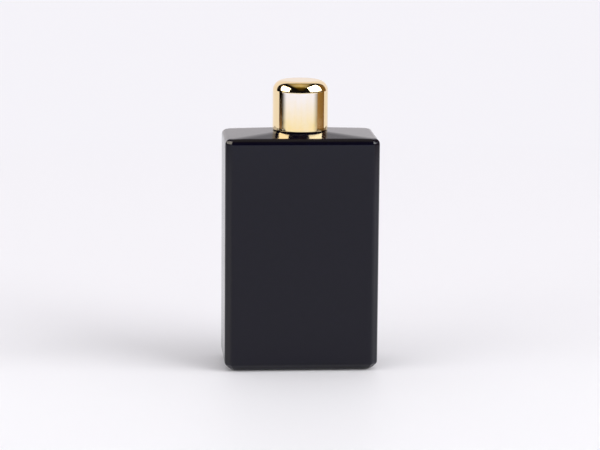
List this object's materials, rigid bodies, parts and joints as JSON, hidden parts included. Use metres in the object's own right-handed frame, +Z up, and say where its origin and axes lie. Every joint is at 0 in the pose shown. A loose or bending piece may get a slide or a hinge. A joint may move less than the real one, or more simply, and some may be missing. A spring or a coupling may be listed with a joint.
{
  "type": "aftershave bottle",
  "caption": "Rectangular splash bottle in black glass with chamfered corners, low sloping shoulder and a smooth round screw cap in gold metal over a pouring insert.",
  "frame": {"origin": "centre of the base, at the height it stands on", "axes": "+X along the bottle's width, +Y from its front to its back, +Z up along the neck"},
  "size_m": [0.06, 0.034, 0.1129],
  "materials": {
    "black_glass": "glossy",
    "gold_metal": "polished, gold anodised",
    "liner_plastic": "natural moulded plastic",
    "white_insert": "soft translucent white plastic",
    "foam_wad": "fine closed-cell foam"
  },
  "bodies": {
    "bottle": {"glass_bottle": "black_glass", "orifice_reducer": "white_insert"},
    "seal": {"sealing_wad": "foam_wad"},
    "cap": {"cap_liner": "liner_plastic", "cap_shell": "gold_metal"}
  },
  "joints": [
    {"name": "cap_rise", "type": "slide", "parent": "bottle", "child": "seal", "axis": [0, 0, 1], "range_m": [0, 0.01746]},
    {"name": "cap_turn", "type": "hinge", "parent": "seal", "child": "cap", "pos_m": [0, 0, 0.1], "axis": [0, 0, 1], "range_deg": [0, 1980]}
  ],
  "couplings": [
    {"joint": "cap_turn", "follows": "cap_rise", "rad_per_m": 1979}
  ]
}
